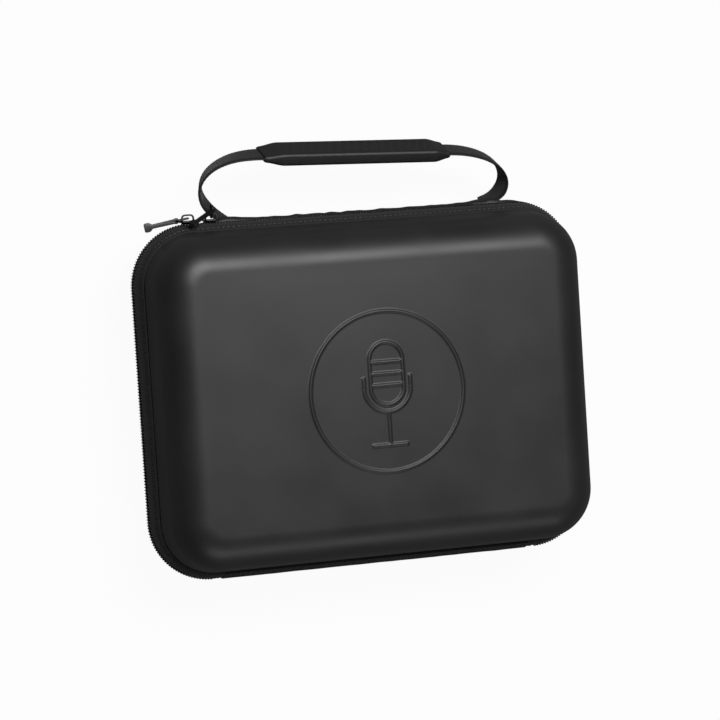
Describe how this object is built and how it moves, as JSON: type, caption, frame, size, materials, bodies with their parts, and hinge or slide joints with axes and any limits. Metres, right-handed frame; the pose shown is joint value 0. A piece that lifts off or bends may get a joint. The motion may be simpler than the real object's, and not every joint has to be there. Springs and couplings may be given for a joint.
{
  "type": "microphone case",
  "caption": "Zippered hard-shell microphone case with a swinging webbing carry handle, two zip sliders, and fitted foam for a microphone, its clip and a cable",
  "frame": {"origin": "the centre of the flat outer face of the base, on which the case lies", "axes": "+X along the width, to the right as the picture shows it; +Y towards the carry handle; +Z out of the lid"},
  "size_m": [0.3, 0.2765, 0.0968],
  "materials": {
    "shell": "satin black coated skin over moulded EVA foam",
    "lining": "black knitted lining",
    "foam": "dense charcoal foam, cut to shape",
    "binding": "black woven edge binding",
    "zip_tape": "black woven zip tape",
    "zip_chain": "black coil zip with a dull metallic sheen",
    "zip_metal": "black painted zinc castings and wire",
    "padded_cloth": "black coated cloth over a thin pad",
    "webbing": "black ribbed webbing",
    "grip": "moulded soft black grip"
  },
  "bodies": {
    "case_base": {"base_shell": "shell", "base_lining": "lining", "base_foam": "foam", "base_floor_pad": "foam", "base_binding": "binding", "base_tape": "zip_tape", "base_coil": "zip_chain", "hinge_strip_base": "binding", "zip_stop_left": "zip_metal", "zip_stop_right": "zip_metal", "handle_strip": "padded_cloth", "anchor_left": "padded_cloth", "anchor_right": "padded_cloth"},
    "lid": {"lid_shell": "shell", "lid_lining": "lining", "lid_foam": "foam", "lid_binding": "binding", "lid_tape": "zip_tape", "lid_coil": "zip_chain", "hinge_strip_lid": "binding"},
    "handle": {"handle_webbing": "webbing", "grip_top": "grip", "grip_bottom": "grip"},
    "slider_left": {"slider_left": "zip_metal", "slider_left_bridge": "zip_metal"},
    "ring_left": {"pull_left_ring": "zip_metal"},
    "tab_left": {"pull_left_tab": "zip_metal"},
    "slider_right": {"slider_right": "zip_metal", "slider_right_bridge": "zip_metal"},
    "ring_right": {"pull_right_ring": "zip_metal"},
    "tab_right": {"pull_right_tab": "zip_metal"}
  },
  "joints": [
    {"name": "lid_hinge", "type": "hinge", "parent": "case_base", "child": "lid", "pos_m": [0, -0.11415, 0.048], "axis": [1, 0, 0], "range_deg": [0, 179]},
    {"name": "slider_left_corner", "type": "hinge", "parent": "case_base", "child": "slider_left", "pos_m": [-0.11, 0.074, 0.048], "axis": [0, 0, 1], "range_deg": [0, 75]},
    {"name": "slider_right_run", "type": "slide", "parent": "case_base", "child": "slider_right", "axis": [1, 0, 0], "range_m": [0, 0.189]},
    {"name": "handle_swing", "type": "hinge", "parent": "case_base", "child": "handle", "pos_m": [0.008, 0.116, 0.033], "axis": [1, 0, 0], "range_deg": [-50, 5]},
    {"name": "ring_left_swing", "type": "hinge", "parent": "slider_left", "child": "ring_left", "pos_m": [-0.11, 0.1173, 0.048], "axis": [0, 0, 1], "range_deg": [-95, 0]},
    {"name": "tab_left_swing", "type": "hinge", "parent": "ring_left", "child": "tab_left", "pos_m": [-0.1177, 0.11608, 0.048], "axis": [0, 0, 1], "range_deg": [-20, 0]},
    {"name": "ring_right_swing", "type": "hinge", "parent": "slider_right", "child": "ring_right", "pos_m": [-0.0945, 0.11935, 0.048], "axis": [1, 0, 0], "range_deg": [-30, 0]},
    {"name": "tab_right_swing", "type": "hinge", "parent": "ring_right", "child": "tab_right", "pos_m": [-0.0945, 0.12114, 0.0521], "axis": [0, 0.7986, 0.6018], "range_deg": [-25, 0]}
  ]
}
